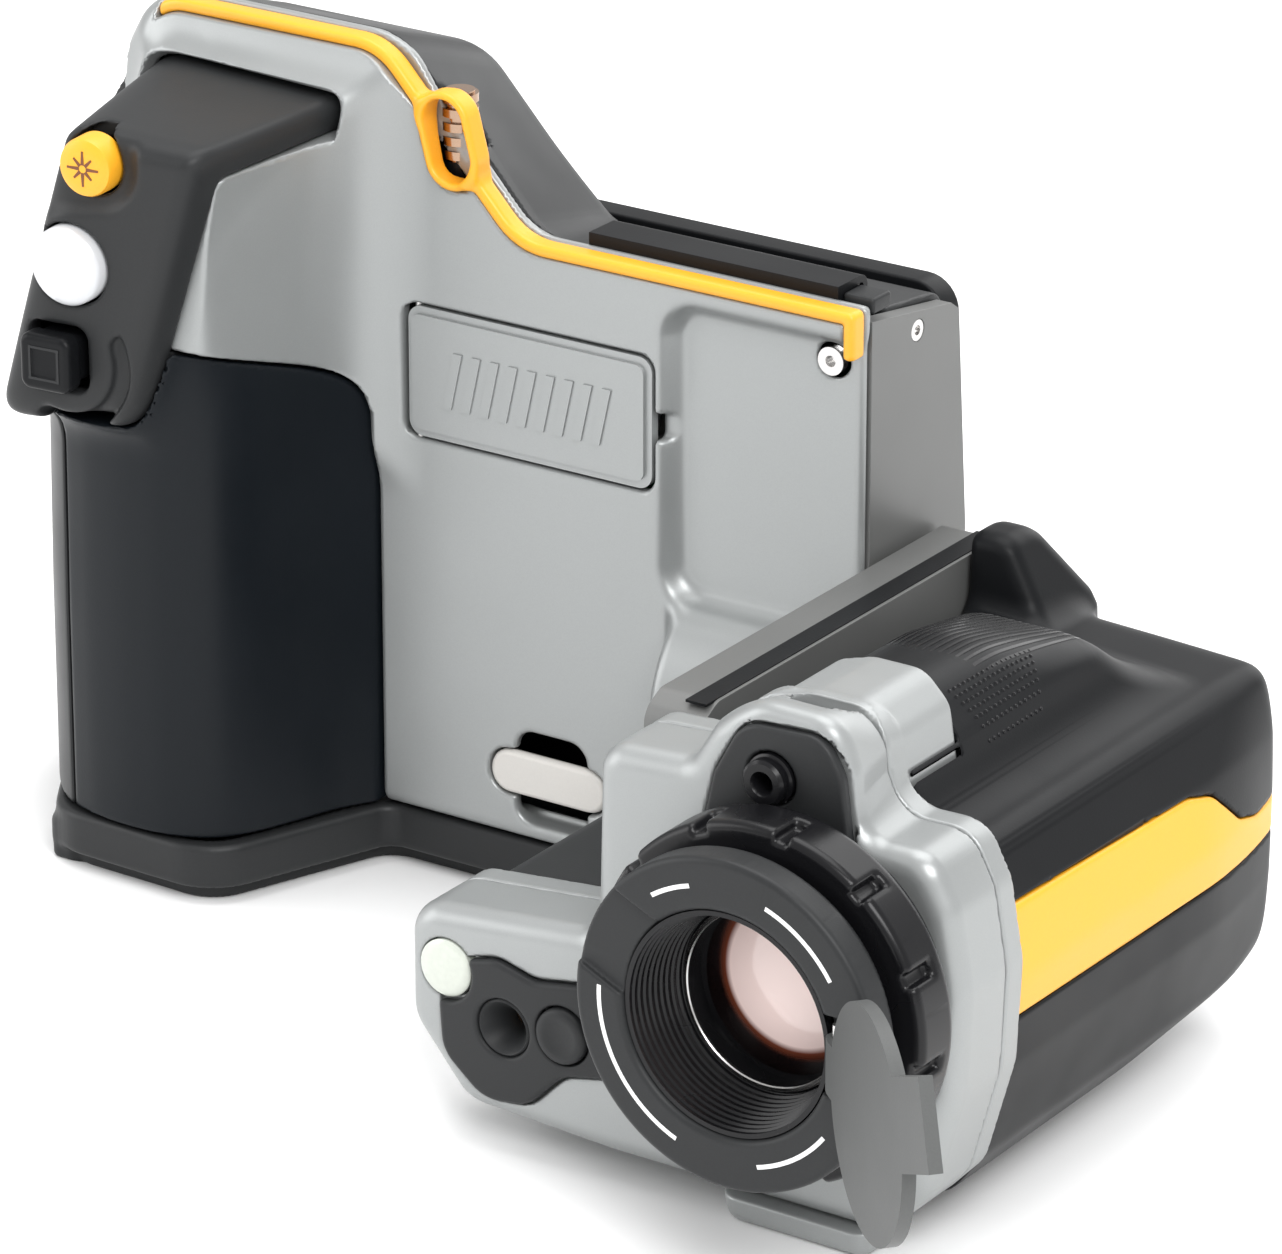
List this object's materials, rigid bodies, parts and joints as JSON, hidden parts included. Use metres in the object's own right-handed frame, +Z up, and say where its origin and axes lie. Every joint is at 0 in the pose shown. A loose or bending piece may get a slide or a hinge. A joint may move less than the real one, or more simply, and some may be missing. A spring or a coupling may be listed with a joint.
{
  "type": "thermal imaging camera",
  "caption": "Handheld infrared camera with a hand grip, a rear display and a lens unit that tilts beside the housing",
  "frame": {"origin": "mouth of the tripod socket in the underside of the housing; the camera stands on Z = 0", "axes": "+X runs along the width, from the hand grip to the lens unit; the lens looks along -Y; +Z is up, from the base to the head"},
  "size_m": [0.2266, 0.1488, 0.1232],
  "materials": {
    "silver_shell": "fine metallic silver paint, satin",
    "grey_shell": "mid-grey satin paint",
    "charcoal_grip": "soft-touch charcoal, matt",
    "black_plastic": "fine-textured black, satin",
    "yellow_trim": "warm yellow, satin",
    "white_button": "pearl white, glossy",
    "green_key": "green, satin",
    "cap_grey": "mid-grey, matt",
    "metal": "bright steel",
    "brass": "plain brass",
    "bronze_tip": "ribbed, bronze-tinted chrome",
    "bearing": "self-lubricating bush",
    "display_glass": "dark touch glass",
    "infrared_glass": "coated germanium with a pink reflection",
    "circuit_board": "green solder mask"
  },
  "bodies": {
    "housing": {"front_shell": "silver_shell", "rear_shell": "charcoal_grip", "end_plate": "grey_shell", "accent_strip": "yellow_trim", "head_cover": "charcoal_grip", "grip_shell": "charcoal_grip", "base_cover": "charcoal_grip", "lcd_bezel": "black_plastic", "lcd_glass": "display_glass", "lcd_module": "metal", "main_board": "circuit_board", "connector_board": "metal", "memory_card": "black_plastic", "stylus_tube": "black_plastic", "strap_bar": "silver_shell", "battery_pack": "black_plastic", "tripod_bush": "brass", "housing_screws": "metal", "tilt_bearing": "bearing", "keypad_plate": "black_plastic", "connector_door_pin": "metal", "card_cover_pin": "metal"},
    "lens_unit": {"lens_front_cover": "silver_shell", "lens_collar": "silver_shell", "lens_upper_shell": "black_plastic", "lens_lower_shell": "black_plastic", "side_stripe": "yellow_trim", "inner_side_plate": "grey_shell", "arm_shell": "charcoal_grip", "lens_foot": "silver_shell", "camera_panel": "charcoal_grip", "visual_camera": "black_plastic", "lamp_lens": "white_button", "lamp_led": "metal", "laser_panel": "charcoal_grip", "laser_module": "black_plastic", "lens_barrel": "black_plastic", "objective_lens": "infrared_glass", "detector_module": "metal", "tilt_shaft": "metal"},
    "lens_ring": {"bayonet_ring": "charcoal_grip", "cap_hinge_pin": "metal"},
    "stylus": {"stylus": "black_plastic", "stylus_cap": "bronze_tip"},
    "card_cover": {"card_cover": "black_plastic", "card_cover_tab": "charcoal_grip"},
    "battery_door": {"battery_door": "black_plastic"},
    "connector_door": {"connector_door": "silver_shell"},
    "laser_button": {"laser_button": "yellow_trim"},
    "save_button": {"save_button": "white_button"},
    "zoom_key": {"zoom_key": "black_plastic"},
    "joystick": {"joystick": "black_plastic"},
    "menu_key": {"menu_key": "charcoal_grip"},
    "mode_key": {"mode_key": "charcoal_grip"},
    "record_key": {"record_key": "charcoal_grip"},
    "power_key": {"power_key": "green_key"},
    "lens_release": {"lens_release": "charcoal_grip"},
    "focus_ring": {"focus_ring": "black_plastic"},
    "lens_cap": {"lens_cap": "cap_grey"}
  },
  "joints": [
    {"name": "lens_tilt", "type": "hinge", "parent": "housing", "child": "lens_unit", "pos_m": [0.041, -0.002, 0.035], "axis": [-1, 0, 0], "range_deg": [-33, 62]},
    {"name": "focus_turn", "type": "hinge", "parent": "lens_unit", "child": "focus_ring", "pos_m": [0.0765, -0.09, 0.0378], "axis": [0, 1, 0], "range_deg": [-60, 60]},
    {"name": "lens_ring_twist", "type": "hinge", "parent": "lens_unit", "child": "lens_ring", "pos_m": [0.0765, -0.098, 0.0378], "axis": [0, 1, 0], "range_deg": [0, 30]},
    {"name": "lens_cap_hinge", "type": "hinge", "parent": "lens_ring", "child": "lens_cap", "pos_m": [0.0938, -0.1009, 0.0378], "axis": [0, 0, 1], "range_deg": [-139, 11]},
    {"name": "lens_release_press", "type": "slide", "parent": "lens_unit", "child": "lens_release", "axis": [0, 1, 0], "range_m": [0, 0.0012], "stiffness_N_per_m": 800},
    {"name": "battery_door_lift", "type": "slide", "parent": "housing", "child": "battery_door", "axis": [0, -1, 0], "range_m": [0, 0.05]},
    {"name": "connector_door_hinge", "type": "hinge", "parent": "housing", "child": "connector_door", "pos_m": [-0.0313, -0.0128, 0.076], "axis": [0, 0, -1], "range_deg": [0, 70]},
    {"name": "card_cover_hinge", "type": "hinge", "parent": "housing", "child": "card_cover", "pos_m": [0.015, -0.0046, 0.0989], "axis": [-1, 0, 0], "range_deg": [0, 95]},
    {"name": "stylus_pull", "type": "slide", "parent": "housing", "child": "stylus", "axis": [0, 0, 1], "range_m": [0, 0.1]},
    {"name": "laser_button_press", "type": "slide", "parent": "housing", "child": "laser_button", "axis": [-0.0872, 0.9962, 0], "range_m": [0, 0.0012], "stiffness_N_per_m": 900},
    {"name": "save_button_press", "type": "slide", "parent": "housing", "child": "save_button", "axis": [-0.0872, 0.9962, 0], "range_m": [0, 0.0012], "stiffness_N_per_m": 900},
    {"name": "zoom_key_rock", "type": "hinge", "parent": "housing", "child": "zoom_key", "pos_m": [-0.06856, -0.04481, 0.0806], "axis": [0.9962, 0.0872, 0], "range_deg": [-4, 4], "stiffness_Nm_per_rad": 0.12},
    {"name": "joystick_tilt", "type": "hinge", "parent": "housing", "child": "joystick", "pos_m": [-0.062, 0.006, 0.097], "axis": [1, 0, 0], "range_deg": [-8, 8], "stiffness_Nm_per_rad": 0.15},
    {"name": "menu_key_press", "type": "slide", "parent": "housing", "child": "menu_key", "axis": [0, -1, 0], "range_m": [0, 0.0008], "stiffness_N_per_m": 900},
    {"name": "mode_key_press", "type": "slide", "parent": "housing", "child": "mode_key", "axis": [0, -1, 0], "range_m": [0, 0.0008], "stiffness_N_per_m": 900},
    {"name": "record_key_press", "type": "slide", "parent": "housing", "child": "record_key", "axis": [0, -1, 0], "range_m": [0, 0.0008], "stiffness_N_per_m": 900},
    {"name": "power_key_press", "type": "slide", "parent": "housing", "child": "power_key", "axis": [0, -1, 0], "range_m": [0, 0.0008], "stiffness_N_per_m": 900}
  ]
}
